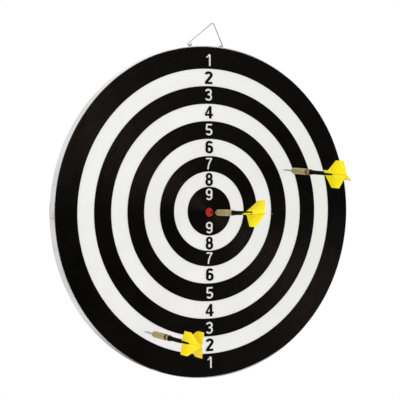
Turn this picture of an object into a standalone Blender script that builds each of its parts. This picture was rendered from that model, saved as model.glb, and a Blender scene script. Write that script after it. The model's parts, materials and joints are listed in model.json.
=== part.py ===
"""Round cork target with a flocked nine-zone face, a wire hanger and three darts stuck in it.

Metres, +Z up. The face looks towards -Y, and the origin is the centre of the back face.
Every dart lies on its own axis, with the face at 0 and +Z of its empty pointing out of the board.
"""
import math

import bmesh
import bpy
from mathutils import Matrix, Vector

# The board
BOARD_RADIUS = 0.185
BOARD_THICKNESS = 0.013
PAPER_THICKNESS = 0.0005
FLOCK_THICKNESS = 0.0004
GAP = 0.0003
ROUND_STEPS = 96

# The paper tape round the edge
TAPE_THICKNESS = 0.0004
TAPE_LAP_LENGTH = 0.014
TAPE_LAP_RAMP = 0.004
TAPE_END_ANGLE = 181.0

# The printed zones: outer edges of zones 9 to 2 as shares of the board's radius.
# Zone 1 runs to the edge of the paper. The whole print sits a little above the board's centre.
ZONE_SHARES = (0.1465, 0.2395, 0.3314, 0.4368, 0.5422, 0.6481, 0.7535, 0.8595)
DOT_SHARE = 0.0254
PRINT_RISE = 0.001

# The hanger: the bail's bends in its own plane, from the closed left foot to the open right one
BAIL_WIRE = 0.0012
BAIL_LEAN = 29.0
BAIL_BENDS = (
    ((-0.0201, 0.0036), 0.0),
    ((-0.0169, 0.0), 0.0012),
    ((-0.0226, 0.0), 0.0010),
    ((-0.0239, 0.0021), 0.0012),
    ((0.0013, 0.0289), 0.0024),
    ((0.02185, 0.0), 0.0012),
    ((0.0166, 0.0), 0.0),
)
STAPLE_WIRE = 0.001
STAPLE_LEG_SPACING = 0.0032
STAPLE_DEPTH = 0.009
STAPLE_PLACES = {"left": -0.0206, "right": 0.0186}

# The darts: lengths are measured from the barrel's nose
NEEDLE_RADIUS = 0.001
NEEDLE_LENGTH = 0.0245
NEEDLE_TAPER = 0.005
NEEDLE_SEAT = 0.010
BARREL_RADIUS = 0.0035
BARREL_LENGTH = 0.0366
NOSE_RADIUS = 0.0019
NOSE_LENGTH = 0.0034
COLLAR_RADIUS = 0.0033
COLLAR_LENGTH = 0.0024
GROOVE_RADIUS = 0.003
GROOVE_LENGTH = 0.0056
KNURL_DEPTH = 0.00018
KNURL_ROWS = 21
BARREL_STEPS = 18
THREAD_RADIUS = 0.0016
THREAD_LENGTH = 0.009
STEM_RADIUS = 0.00255
STEM_WAIST_RADIUS = 0.00225
STEM_NECK_RADIUS = 0.00205
STEM_TIP_RADIUS = 0.0018
STEM_LENGTH = 0.0426
PRONG_LENGTH = 0.015
STEM_STEPS = 16
WING_THICKNESS = 0.0005
WING_SPAN = 0.0151
WING_ROOT = 0.0024
WING_LEAD = 0.0146
WING_EDGE = 0.0141
WING_TRAIL = 0.0092
WING_CORNER = 0.0022
FOLD_LENGTH = 0.0012
FOLD_STEPS = 3

# Where each dart is stuck: its place on the face as shares of the board's radius, the degrees
# it leans towards +X and +Z, the depth of its tip, the roll of its stem, and how many degrees
# each of its four wings is folded away from a square cross
DARTS = (
    {
        "place": (0.533, 0.2535),
        "lean": (0.6, -2.75),
        "depth": 0.0070,
        "roll": 68.0,
        "folds": (17.0, 6.0, 14.0, -5.0),
    },
    {
        "place": (0.0146, -0.0016),
        "lean": (-0.95, 1.1),
        "depth": 0.0114,
        "roll": 83.0,
        "folds": (-22.0, 13.0, -17.0, 6.0),
    },
    {
        "place": (-0.4314, -0.6943),
        "lean": (1.0, -0.6),
        "depth": 0.0050,
        "roll": 40.0,
        "folds": (20.0, -17.0, 2.0, -20.0),
    },
)

CORE_RADIUS = BOARD_RADIUS - TAPE_THICKNESS - GAP
DOT_RADIUS = BOARD_RADIUS * DOT_SHARE
LAYER_STEP = PAPER_THICKNESS + GAP
FACE_FRONT = -BOARD_THICKNESS + FLOCK_THICKNESS + GAP
CORE_FRONT = FACE_FRONT + LAYER_STEP
CORE_BACK = -LAYER_STEP
HOLE_RADIUS = NEEDLE_RADIUS + GAP
HINGE_Y = -BOARD_THICKNESS / 2


def clear_scene():
    for thing in list(bpy.data.objects):
        bpy.data.objects.remove(thing, do_unlink=True)


def new_collection(name):
    collection = bpy.data.collections.new(name)
    bpy.context.scene.collection.children.link(collection)
    return collection


def new_material(name, colour, roughness, metallic=0.0):
    material = bpy.data.materials.new(name)
    material.use_nodes = True
    shader = material.node_tree.nodes["Principled BSDF"]
    shader.inputs["Base Color"].default_value = (*colour, 1.0)
    shader.inputs["Roughness"].default_value = roughness
    shader.inputs["Metallic"].default_value = metallic
    return material


clear_scene()
TARGET = new_collection("cork_target")
CUTTERS = new_collection("cutters")
MATERIALS = {
    "cork": new_material("cork", (0.42, 0.26, 0.14), 0.9),
    "paper": new_material("paper", (0.84, 0.84, 0.82), 0.75),
    "flock_black": new_material("flock_black", (0.008, 0.007, 0.006), 0.95),
    "flock_red": new_material("flock_red", (0.55, 0.02, 0.02), 0.9),
    "tape": new_material("tape", (0.70, 0.70, 0.69), 0.7),
    "wire": new_material("wire", (0.62, 0.62, 0.60), 0.35, 1.0),
    "steel": new_material("steel", (0.45, 0.45, 0.44), 0.3, 1.0),
    "brass": new_material("brass", (0.50, 0.40, 0.20), 0.4, 1.0),
    "stem_plastic": new_material("stem_plastic", (0.012, 0.012, 0.012), 0.45),
    "flight_plastic": new_material("flight_plastic", (0.93, 0.75, 0.02), 0.5),
}


def new_object(name, mesh, material):
    thing = bpy.data.objects.new(name, mesh)
    TARGET.objects.link(thing)
    mesh.materials.clear()
    mesh.materials.append(MATERIALS[material])
    return thing


def new_cutter(name, mesh):
    cutter = bpy.data.objects.new(name, mesh)
    CUTTERS.objects.link(cutter)
    cutter.hide_render = True
    cutter.display_type = "WIRE"
    return cutter


def mesh_from(bm, name):
    bmesh.ops.recalc_face_normals(bm, faces=bm.faces)
    mesh = bpy.data.meshes.new(name)
    bm.to_mesh(mesh)
    bm.free()
    return mesh


def smooth(thing, angle=35.0):
    thing.data.shade_smooth()
    thing.data.set_sharp_from_angle(angle=math.radians(angle))


def boolean(thing, cutter, operation="DIFFERENCE"):
    modifier = thing.modifiers.new(cutter.name, "BOOLEAN")
    modifier.object = cutter
    modifier.operation = operation
    modifier.solver = "EXACT"


def evaluated_mesh(thing, name):
    """The mesh of an object after its modifiers, with a curve's caps welded on."""
    bpy.context.view_layer.update()
    depsgraph = bpy.context.evaluated_depsgraph_get()
    mesh = bpy.data.meshes.new_from_object(thing.evaluated_get(depsgraph))
    mesh.name = name
    bm = bmesh.new()
    bm.from_mesh(mesh)
    bmesh.ops.remove_doubles(bm, verts=bm.verts, dist=0.00001)
    bm.to_mesh(mesh)
    bm.free()
    return mesh


def thicken(bm, offset):
    """Turns the flat faces of a mesh into a solid that reaches from them to the offset."""
    made = bmesh.ops.extrude_face_region(bm, geom=bm.faces[:])
    moved = [item for item in made["geom"] if isinstance(item, bmesh.types.BMVert)]
    bmesh.ops.translate(bm, verts=moved, vec=offset)


def circle(bm, radius, y, rise=0.0):
    """The edges of a circle round the board's axis, at depth y and lifted by rise."""
    made = bmesh.ops.create_circle(bm, segments=ROUND_STEPS, radius=radius, cap_ends=False)
    turn = Matrix.Translation((0, y, rise)) @ Matrix.Rotation(math.radians(90), 4, "X")
    bmesh.ops.transform(bm, matrix=turn, verts=made["verts"])
    return list({edge for vert in made["verts"] for edge in vert.link_edges})


def plate(name, material, outer, front, back, rise=0.0, inner=None, inner_rise=0.0):
    """A flat round layer of the board, or a ring where it has an inner radius."""
    bm = bmesh.new()
    edges = circle(bm, outer, front, rise)
    if inner:
        edges += circle(bm, inner, front, inner_rise)
        bmesh.ops.bridge_loops(bm, edges=edges)
    else:
        bmesh.ops.contextual_create(bm, geom=edges)
    thicken(bm, (0, back - front, 0))
    thing = new_object(name, mesh_from(bm, name), material)
    smooth(thing)
    return thing


def round_corners(bends, steps=6):
    """A flat path through the given points, with an arc of each point's own radius."""
    path = []
    for index, (point, radius) in enumerate(bends):
        corner = Vector(point)
        if radius == 0.0:
            path.append(corner)
            continue
        towards_last = (Vector(bends[index - 1][0]) - corner).normalized()
        towards_next = (Vector(bends[index + 1][0]) - corner).normalized()
        half = towards_last.angle(towards_next) / 2
        centre = corner + (towards_last + towards_next).normalized() * radius / math.sin(half)
        start = corner + towards_last * radius / math.tan(half) - centre
        end = corner + towards_next * radius / math.tan(half) - centre
        sweep = start.angle_signed(end)
        for step in range(steps + 1):
            turn = Matrix.Rotation(-sweep * step / steps, 2)
            path.append(centre + turn @ start)
    return path


def wire(name, path, diameter, material, bevel_resolution=2):
    """A round wire along a path of points, as a closed mesh."""
    curve = bpy.data.curves.new(name, "CURVE")
    curve.dimensions = "3D"
    curve.bevel_depth = diameter / 2
    curve.bevel_resolution = bevel_resolution
    curve.use_fill_caps = True
    spline = curve.splines.new("POLY")
    spline.points.add(len(path) - 1)
    for spline_point, place in zip(spline.points, path):
        spline_point.co = (*place, 1.0)
    guide = bpy.data.objects.new(name + "_path", curve)
    TARGET.objects.link(guide)
    mesh = evaluated_mesh(guide, name)
    bpy.data.objects.remove(guide, do_unlink=True)
    thing = new_object(name, mesh, material)
    smooth(thing, 50.0)
    return thing


def turned_mesh(name, profile, steps):
    """A solid turned round Z from a profile of (radius, height), down its outer side."""
    mesh = bpy.data.meshes.new(name + "_profile")
    points = [(radius, 0.0, height) for radius, height in profile]
    mesh.from_pydata(points, [(i, i + 1) for i in range(len(points) - 1)], [])
    guide = bpy.data.objects.new(name + "_profile", mesh)
    TARGET.objects.link(guide)
    screw = guide.modifiers.new("turn", "SCREW")
    screw.steps = steps
    screw.render_steps = steps
    screw.use_merge_vertices = True
    screw.merge_threshold = 0.00001
    turned = evaluated_mesh(guide, name)
    bpy.data.objects.remove(guide, do_unlink=True)
    return turned


def tape_angle(length):
    return length / BOARD_RADIUS


def rim_tape():
    """One paper strip round the edge. Its last stretch lies over its own start."""
    inner = BOARD_RADIUS - TAPE_THICKNESS
    sweep = math.tau + tape_angle(TAPE_LAP_LENGTH)
    ramp_start = math.tau - tape_angle(TAPE_LAP_RAMP)
    end = math.radians(TAPE_END_ANGLE)
    bm = bmesh.new()
    front = bm.verts.new((inner, -BOARD_THICKNESS, 0))
    back = bm.verts.new((inner, 0, 0))
    edge = bm.edges.new((front, back))
    start_turn = Matrix.Rotation(sweep - end, 3, "Y")
    bmesh.ops.rotate(bm, verts=[front, back], cent=(0, 0, 0), matrix=start_turn)
    bmesh.ops.spin(
        bm,
        geom=[front, back, edge],
        cent=(0, 0, 0),
        axis=(0, -1, 0),
        angle=sweep,
        steps=ROUND_STEPS + 4,
        use_duplicate=False,
    )
    bm.verts.ensure_lookup_table()
    for index, vert in enumerate(bm.verts):
        turned = sweep * (index // 2) / (ROUND_STEPS + 4)
        lift = min(max((turned - ramp_start) / (math.tau - ramp_start), 0.0), 1.0)
        radius = inner + lift * (TAPE_THICKNESS + GAP / 3)
        scale = radius / math.hypot(vert.co.x, vert.co.z)
        vert.co.x *= scale
        vert.co.z *= scale
    mesh = mesh_from(bm, "rim_tape")
    tape = new_object("rim_tape", mesh, "tape")
    wall = tape.modifiers.new("thickness", "SOLIDIFY")
    wall.thickness = TAPE_THICKNESS
    wall.offset = 1.0
    return tape


def flat_zones():
    """Every flocked zone as (name, material, outer, inner, rise of the outer edge, rise of the inner)."""
    edges = [BOARD_RADIUS * share for share in ZONE_SHARES]
    zones = [("black_disc_9", "flock_black", edges[0], DOT_RADIUS + GAP, PRINT_RISE, 0.0)]
    for number in (7, 5, 3):
        outer = edges[9 - number]
        inner = edges[8 - number]
        zones.append((f"black_ring_{number}", "flock_black", outer, inner, PRINT_RISE, PRINT_RISE))
    zones.append(("black_ring_1", "flock_black", CORE_RADIUS, edges[7], 0.0, PRINT_RISE))
    zones.append(("red_centre", "flock_red", DOT_RADIUS, None, 0.0, 0.0))
    return zones


def entry_point(dart):
    return BOARD_RADIUS * dart["place"][0], BOARD_RADIUS * dart["place"][1]


def hole_meets(entry, outer, inner, rise):
    """Whether a needle's hole at this entry reaches a round layer of the board."""
    distance = math.hypot(entry[0], entry[1] - rise)
    return distance - HOLE_RADIUS < outer and (inner is None or distance + HOLE_RADIUS > inner)


def board():
    """The core, its two papers and the flocked zones, with the needles' holes cut."""
    layers = []
    for name, material, front, back in (
        ("pressed_cork_core", "cork", CORE_FRONT, CORE_BACK),
        ("face_sheet", "paper", FACE_FRONT, FACE_FRONT + PAPER_THICKNESS),
        ("back_sheet", "paper", -PAPER_THICKNESS, 0.0),
    ):
        layers.append((plate(name, material, CORE_RADIUS, front, back), CORE_RADIUS, None, 0.0, front))
    flock_back = -BOARD_THICKNESS + FLOCK_THICKNESS
    for name, material, outer, inner, rise, inner_rise in flat_zones():
        zone = plate(name, material, outer, -BOARD_THICKNESS, flock_back, rise, inner, inner_rise)
        layers.append((zone, outer, inner, rise, -BOARD_THICKNESS))
    for number, dart in enumerate(DARTS, start=1):
        cutter = needle_hole(number, dart)
        for layer, outer, inner, rise, front in layers:
            reaches = dart["depth"] + GAP > front + BOARD_THICKNESS
            if reaches and hole_meets(entry_point(dart), outer, inner, rise):
                boolean(layer, cutter)
    return layers[0][0]


def round_bar(bm, radius, length):
    """A straight round cutter along Z, centred on the origin."""
    bmesh.ops.create_cone(bm, cap_ends=True, segments=12, radius1=radius, radius2=radius, depth=length)


def needle_hole(number, dart):
    length = dart["depth"] + GAP + NEEDLE_LENGTH
    bm = bmesh.new()
    round_bar(bm, HOLE_RADIUS, length)
    bmesh.ops.translate(bm, verts=bm.verts, vec=(0, 0, length / 2 - dart["depth"] - GAP))
    cutter = new_cutter(f"needle_hole_{number}", mesh_from(bm, f"needle_hole_{number}"))
    cutter.matrix_world = dart_frame(dart)
    return cutter


def dart_frame(dart):
    """The dart's place: +Z out of the board along its axis, +X to the right, +Y up."""
    right_lean, up_lean = (math.radians(angle) for angle in dart["lean"])
    out = Vector((
        math.sin(right_lean) * math.cos(up_lean),
        -math.cos(right_lean) * math.cos(up_lean),
        math.sin(up_lean),
    ))
    up = (Vector((0, 0, 1)) - out * out.z).normalized()
    right = up.cross(out)
    frame = Matrix((right, up, out)).transposed().to_4x4()
    x, z = entry_point(dart)
    frame.translation = (x, -BOARD_THICKNESS, z)
    return frame


def rim_height(x):
    """Height of the tape's outer face above the board's centre, x away from the middle."""
    return math.sqrt(BOARD_RADIUS ** 2 - x ** 2)


def hinge_height():
    """The bail's foot bars clear the highest point of the rim that lies under them."""
    inner_end = min(abs(BAIL_BENDS[1][0][0]), abs(BAIL_BENDS[-1][0][0]))
    return rim_height(inner_end) + GAP + BAIL_WIRE / 2


def hanger_bail():
    path = [(u, 0.0, v) for u, v in round_corners(BAIL_BENDS)]
    bail = wire("hanger_bail", path, BAIL_WIRE, "wire", 3)
    bail.location = (0, HINGE_Y, hinge_height())
    bail.rotation_euler.x = math.radians(BAIL_LEAN)
    return bail


def hanger_staple(side, x, walls):
    """A wire staple over one foot bar of the bail, driven into the edge of the board."""
    crown = hinge_height() + BAIL_WIRE / 2 + GAP + STAPLE_WIRE / 2
    foot = rim_height(x) - STAPLE_DEPTH
    half = STAPLE_LEG_SPACING / 2
    outline = (
        ((-half, foot), 0.0),
        ((-half, crown), STAPLE_WIRE * 0.6),
        ((half, crown), STAPLE_WIRE * 0.6),
        ((half, foot), 0.0),
    )
    path = [(x, HINGE_Y + across, height) for across, height in round_corners(outline, 4)]
    staple = wire(f"hanger_staple_{side}", path, STAPLE_WIRE, "wire")
    for end, across in (("front", -half), ("rear", half)):
        bm = bmesh.new()
        top = crown + STAPLE_WIRE
        bottom = foot - GAP
        round_bar(bm, STAPLE_WIRE / 2 + GAP, top - bottom)
        place = (x, HINGE_Y + across, (top + bottom) / 2)
        bmesh.ops.translate(bm, verts=bm.verts, vec=place)
        name = f"staple_hole_{side}_{end}"
        cutter = new_cutter(name, mesh_from(bm, name))
        for wall in walls:
            boolean(wall, cutter)
    return staple


def needle_mesh():
    profile = [
        (0.0, NEEDLE_SEAT),
        (NEEDLE_RADIUS, NEEDLE_SEAT),
        (NEEDLE_RADIUS, -NEEDLE_LENGTH + NEEDLE_TAPER),
        (NEEDLE_RADIUS * 0.72, -NEEDLE_LENGTH + NEEDLE_TAPER * 0.45),
        (NEEDLE_RADIUS * 0.12, -NEEDLE_LENGTH),
        (0.0, -NEEDLE_LENGTH),
    ]
    return turned_mesh("dart_point", profile, STEM_STEPS)


def barrel_mesh():
    """The barrel is bored at both ends and knurled between its nose and its groove."""
    needle_bore = NEEDLE_RADIUS + GAP
    thread_bore = THREAD_RADIUS + GAP
    collar_front = BARREL_LENGTH - COLLAR_LENGTH
    groove_front = collar_front - GROOVE_LENGTH
    chamfer = COLLAR_RADIUS * 0.1
    profile = [
        (0.0, BARREL_LENGTH - THREAD_LENGTH - GAP),
        (thread_bore, BARREL_LENGTH - THREAD_LENGTH - GAP),
        (thread_bore, BARREL_LENGTH),
        (COLLAR_RADIUS - chamfer, BARREL_LENGTH),
        (COLLAR_RADIUS, BARREL_LENGTH - chamfer),
        (COLLAR_RADIUS, collar_front),
        (GROOVE_RADIUS, collar_front - chamfer),
        (GROOVE_RADIUS, groove_front + chamfer),
        (BARREL_RADIUS - chamfer, groove_front),
    ]
    knurl_end = groove_front - chamfer
    row_pitch = (knurl_end - NOSE_LENGTH) / (KNURL_ROWS - 1)
    profile += [(BARREL_RADIUS, knurl_end - row * row_pitch) for row in range(KNURL_ROWS)]
    for step in range(1, 5):
        turn = math.radians(90) * step / 4
        radius = NOSE_RADIUS + (BARREL_RADIUS - NOSE_RADIUS) * math.cos(turn)
        profile.append((radius, NOSE_LENGTH * (1 - math.sin(turn))))
    profile += [(needle_bore, 0.0), (needle_bore, NEEDLE_SEAT + GAP), (0.0, NEEDLE_SEAT + GAP)]
    mesh = turned_mesh("dart_barrel", profile, BARREL_STEPS)
    for vert in mesh.vertices:
        row = round((knurl_end - vert.co.z) / row_pitch)
        on_outside = math.hypot(vert.co.x, vert.co.y) > BARREL_RADIUS - KNURL_DEPTH / 2
        if on_outside and 0 < row < KNURL_ROWS - 1:
            step = round(math.atan2(vert.co.y, vert.co.x) / math.tau * BARREL_STEPS)
            if (row + step) % 2:
                depth = 1 - KNURL_DEPTH / BARREL_RADIUS
                vert.co.x *= depth
                vert.co.y *= depth
    return mesh


def stem_mesh():
    rear = BARREL_LENGTH + STEM_LENGTH
    slot_floor = rear - PRONG_LENGTH
    shoulder = BARREL_LENGTH + GAP
    profile = [
        (0.0, rear),
        (STEM_TIP_RADIUS * 0.7, rear),
        (STEM_TIP_RADIUS, rear - STEM_TIP_RADIUS * 0.5),
        (STEM_NECK_RADIUS, slot_floor),
        (STEM_WAIST_RADIUS, slot_floor - 0.0018),
        (STEM_WAIST_RADIUS, shoulder + STEM_LENGTH * 0.2),
        (STEM_RADIUS, shoulder + STEM_LENGTH * 0.07),
        (STEM_RADIUS, shoulder),
        (THREAD_RADIUS, shoulder),
        (THREAD_RADIUS, BARREL_LENGTH - THREAD_LENGTH),
        (0.0, BARREL_LENGTH - THREAD_LENGTH),
    ]
    return turned_mesh("dart_stem", profile, STEM_STEPS)


def slot_cutter(number, turn):
    """One of the two crossing slots that take the wings' roots."""
    rear = BARREL_LENGTH + STEM_LENGTH
    width = WING_THICKNESS + 2 * GAP
    bm = bmesh.new()
    bmesh.ops.create_cube(bm, size=1.0)
    bmesh.ops.scale(bm, vec=(4 * STEM_RADIUS, width, PRONG_LENGTH + STEM_RADIUS), verts=bm.verts)
    bmesh.ops.translate(bm, vec=(0, 0, rear - (PRONG_LENGTH - STEM_RADIUS) / 2), verts=bm.verts)
    slot_turn = Matrix.Rotation(math.radians(turn), 3, "Z")
    bmesh.ops.rotate(bm, cent=(0, 0, 0), matrix=slot_turn, verts=bm.verts)
    name = f"stem_slot_{number}_{turn}"
    return new_cutter(name, mesh_from(bm, name))


def wing_outline():
    """The outline that all four wings share, as the half profile of a turned solid."""
    front = BARREL_LENGTH + STEM_LENGTH - PRONG_LENGTH + GAP
    root = front + WING_ROOT
    shoulder = root + WING_LEAD
    heel = shoulder + WING_EDGE
    rear = heel + WING_TRAIL
    corners = (
        ((0.0, rear), 0.0),
        ((WING_THICKNESS * 2, rear), 0.0),
        ((WING_SPAN, heel), WING_CORNER),
        ((WING_SPAN, shoulder), WING_CORNER),
        ((WING_ROOT, root), WING_ROOT),
        ((WING_ROOT * 0.8, front), 0.0),
        ((0.0, front), 0.0),
    )
    return [tuple(point) for point in round_corners(corners, 3)], front, rear


def wing_path(arm, fold):
    """The middle of one wing as seen along the dart, from the axis out. It is flat but for a
    fold just outside the stem's prongs."""
    heading = Vector((1.0, 0.0))
    heading.rotate(Matrix.Rotation(math.radians(90 * arm), 2))
    place = heading * WING_ROOT
    path = [heading * WING_THICKNESS / 2, place]
    for _ in range(FOLD_STEPS):
        heading.rotate(Matrix.Rotation(math.radians(fold) / FOLD_STEPS, 2))
        place = place + heading * FOLD_LENGTH / FOLD_STEPS
        path.append(place)
    path.append(place + heading * (WING_SPAN + WING_THICKNESS - WING_ROOT - FOLD_LENGTH))
    return path


def wing_side(path, side):
    """The path moved by half the wing's thickness to one side."""
    points = []
    for index in range(1, len(path)):
        before = (path[index] - path[index - 1]).normalized()
        after = (path[min(index + 1, len(path) - 1)] - path[min(index, len(path) - 2)]).normalized()
        along = (before + after).normalized()
        points.append(path[index] + Vector((-along.y, along.x)) * side * WING_THICKNESS / 2)
    return points


def flight_mesh(number, folds, front, rear):
    """Four wings that meet in a cross, as a straight prism over the whole length."""
    outline = []
    for arm, fold in enumerate(folds):
        path = wing_path(arm, fold)
        corner = path[0] + Vector((path[0].y, -path[0].x))
        outline += [corner] + wing_side(path, -1) + list(reversed(wing_side(path, 1)))
    margin = WING_THICKNESS
    bm = bmesh.new()
    verts = [bm.verts.new((point.x, point.y, front - margin)) for point in outline]
    bm.faces.new(verts)
    thicken(bm, (0, 0, rear - front + 2 * margin))
    return mesh_from(bm, f"dart_{number}_flight")


def darts():
    point = needle_mesh()
    barrel = barrel_mesh()
    stem = stem_mesh()
    outline, front, rear = wing_outline()
    for number, dart in enumerate(DARTS, start=1):
        axis = bpy.data.objects.new(f"dart_{number}_axis", None)
        TARGET.objects.link(axis)
        axis.matrix_world = dart_frame(dart)
        nose = NEEDLE_LENGTH - dart["depth"]
        wings = flight_mesh(number, dart["folds"], front, rear)
        pieces = (
            new_object(f"dart_{number}_point", point, "steel"),
            new_object(f"dart_{number}_barrel", barrel, "brass"),
            new_object(f"dart_{number}_stem", stem, "stem_plastic"),
            new_object(f"dart_{number}_flight", wings, "flight_plastic"),
        )
        slots = [slot_cutter(number, turn) for turn in (0, 90)]
        blank = new_cutter(f"wing_outline_{number}", turned_mesh(f"wing_outline_{number}", outline, 32))
        for slot in slots:
            boolean(pieces[2], slot)
        boolean(pieces[3], blank, "INTERSECT")
        for thing in (*pieces, *slots, blank):
            thing.parent = axis
            thing.location.z = nose
        for thing in (*pieces[2:], *slots, blank):
            thing.rotation_euler.z = math.radians(dart["roll"])
        for thing in pieces:
            smooth(thing, 30.0)


CORE = board()
TAPE = rim_tape()
hanger_bail()
for staple_side, staple_x in STAPLE_PLACES.items():
    hanger_staple(staple_side, staple_x, (CORE, TAPE))
darts()
bpy.context.view_layer.update()
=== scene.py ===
# %% [markdown]
# # A cork target and its three darts
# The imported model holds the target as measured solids. This lesson dresses those solids for a
# photograph. It sets the camera and the light, models what the solids leave plain, and gives
# every surface a finish made of shader nodes. The cells print what they make, so that a reader
# can follow along. The face looks towards -Y, and +Z is up. Shapes are written in millimetres,
# and become Blender's metres where they go into a mesh. The camera, the lamps and the patterns
# are in metres.

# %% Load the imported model
import json
import math

import bmesh
import bpy
from mathutils import Matrix, Vector, noise


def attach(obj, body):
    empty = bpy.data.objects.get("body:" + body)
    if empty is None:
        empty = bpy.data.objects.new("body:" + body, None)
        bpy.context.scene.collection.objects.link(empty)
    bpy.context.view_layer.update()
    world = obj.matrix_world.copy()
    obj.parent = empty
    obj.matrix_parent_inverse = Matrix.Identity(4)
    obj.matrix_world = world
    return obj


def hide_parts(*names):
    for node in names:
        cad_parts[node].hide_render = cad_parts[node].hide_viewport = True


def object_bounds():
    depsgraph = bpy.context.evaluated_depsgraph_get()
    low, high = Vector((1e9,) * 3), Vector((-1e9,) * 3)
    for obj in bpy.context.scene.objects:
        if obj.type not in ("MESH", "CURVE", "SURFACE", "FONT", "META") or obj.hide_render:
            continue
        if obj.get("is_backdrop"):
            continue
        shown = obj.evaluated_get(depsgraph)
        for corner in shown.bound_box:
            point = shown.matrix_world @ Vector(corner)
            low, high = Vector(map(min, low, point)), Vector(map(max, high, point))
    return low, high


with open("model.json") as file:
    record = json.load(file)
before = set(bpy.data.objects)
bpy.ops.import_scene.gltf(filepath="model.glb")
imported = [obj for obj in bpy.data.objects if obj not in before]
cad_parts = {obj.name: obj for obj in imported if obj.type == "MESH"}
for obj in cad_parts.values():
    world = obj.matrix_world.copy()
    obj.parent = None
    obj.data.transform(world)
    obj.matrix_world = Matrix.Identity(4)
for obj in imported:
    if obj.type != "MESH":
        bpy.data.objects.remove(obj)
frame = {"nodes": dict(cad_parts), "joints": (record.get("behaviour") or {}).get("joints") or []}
CAD_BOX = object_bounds()
NODES = frame["nodes"]
MM = 0.001

# %% [markdown]
# ## Where the camera stood
# The photograph looks at the board from 28 degrees to its left and 1.4 m away. A camera is
# placed most exactly by three directions: its right, its up, and the way back from the object
# to the lens. They are the columns of its rotation, and a last small turn is its roll.

# %% The camera
def add_object(name, data):
    """Makes an object and puts it in the scene."""
    thing = bpy.data.objects.new(name, data)
    bpy.context.scene.collection.objects.link(thing)
    return thing


CAMERA_PLACE = Vector((-0.66853, -1.23436, 0.04617))
azimuth, elevation, roll = (math.radians(angle) for angle in (-28.2636, 1.3352, -0.2235))
level = math.cos(elevation)
back = Vector((math.sin(azimuth) * level, -math.cos(azimuth) * level, math.sin(elevation)))
right = Vector((math.cos(azimuth), math.sin(azimuth), 0.0))
facing = Matrix((right, back.cross(right), back)).transposed() @ Matrix.Rotation(roll, 3, "Z")
camera = add_object("camera", bpy.data.cameras.new("camera"))
camera.data.sensor_width = 36.0
camera.data.lens = 112.43
camera.matrix_world = Matrix.Translation(CAMERA_PLACE) @ facing.to_4x4()
bpy.context.scene.camera = camera
bpy.context.scene.view_settings.view_transform = "Standard"
print(f"camera {CAMERA_PLACE.length:.3f} m from the middle of the back")

# %% [markdown]
# ## A white studio
# The board hangs in front of pure white. The world is white only for the rays that the eye, a
# shiny surface or a clear one sends out, and a soft grey for all others. So the background is
# white, and no extra light falls on the object for it. A node is added with its inputs in one
# call, where an input is either a plain value or the socket that feeds it.

# %% Helpers that add nodes
def feed(tree, node, inputs):
    """Feeds inputs with plain values, or links them to sockets. Plain colours are opaque."""
    for label, value in inputs.items():
        socket = node.inputs[label]
        if isinstance(value, bpy.types.NodeSocket):
            tree.links.new(value, socket)
        else:
            socket.default_value = (*value, 1.0) if socket.type == "RGBA" else value
    return node


def add_node(tree, kind, inputs=None, **settings):
    """Adds a shader node with its settings and its inputs."""
    made = tree.nodes.new("ShaderNode" + kind)
    for label, value in settings.items():
        setattr(made, label, value)
    return feed(tree, made, inputs or {})


def calculate(tree, operation, *values, clamp=False):
    """A Math node's result."""
    values = dict(enumerate(values))
    return add_node(tree, "Math", values, operation=operation, use_clamp=clamp).outputs[0]


# %% The world
SOFT_GREY = 0.70
studio = bpy.data.worlds.new("studio")
studio.use_nodes = True
sky = studio.node_tree
sky.nodes.clear()
rays = add_node(sky, "LightPath").outputs
seen = calculate(sky, "MAXIMUM", rays["Is Camera Ray"], rays["Is Glossy Ray"])
seen = calculate(sky, "MAXIMUM", seen, rays["Is Transmission Ray"])
ambient = add_node(sky, "Background", {"Color": (SOFT_GREY, SOFT_GREY, SOFT_GREY)})
backdrop = add_node(sky, "Background", {"Color": (1.0, 1.0, 1.0)})
chosen = add_node(sky, "MixShader", {0: seen, 1: ambient.outputs[0], 2: backdrop.outputs[0]})
add_node(sky, "OutputWorld", {"Surface": chosen.outputs[0]})
bpy.context.scene.world = studio
print(f"world: white to the camera, {SOFT_GREY} grey as light")

# %% [markdown]
# ## Soft lamps
# The photograph shows no shadow of a dart on the board, and the wings of the darts, which stand
# square to the board, are as bright as its paper. Two large lamps do that. They stand far out to
# the left and the right, where they light the wings in full and only graze the paper, and their
# wide soft shadows fade out before they can be seen.

# %% The lamps
LAMP_WIDTH, LAMP_DISTANCE = 1.8, 2.0
IN_FRONT, ABOVE = -0.6, 0.45
for name, side, power in (("left_lamp", -1, 27.5), ("right_lamp", 1, 26.0)):
    lamp = add_object(name, bpy.data.lights.new(name, "AREA"))
    lamp.data.size = LAMP_WIDTH
    lamp.data.energy = power
    lamp.location = (side * LAMP_DISTANCE, IN_FRONT, ABOVE)
    lamp.rotation_euler = lamp.location.to_track_quat("Z", "Y").to_euler()
    print(f"{name}: {LAMP_WIDTH} m wide, {power} W")

# %% [markdown]
# ## The way every piece is finished
# A bmesh is Blender's editable mesh in a script. Once a shape is done, the same steps turn it
# into a piece: normals outwards, smooth shading that stops at creases, a material, and the body
# that it rides on. One helper does them, so that no piece is left without any of them.

# %% Helpers that finish a piece
def as_mesh(bm, name):
    """Makes a mesh of a bmesh, and frees the bmesh."""
    mesh = bpy.data.meshes.new(name)
    bm.to_mesh(mesh)
    bm.free()
    return mesh


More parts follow.
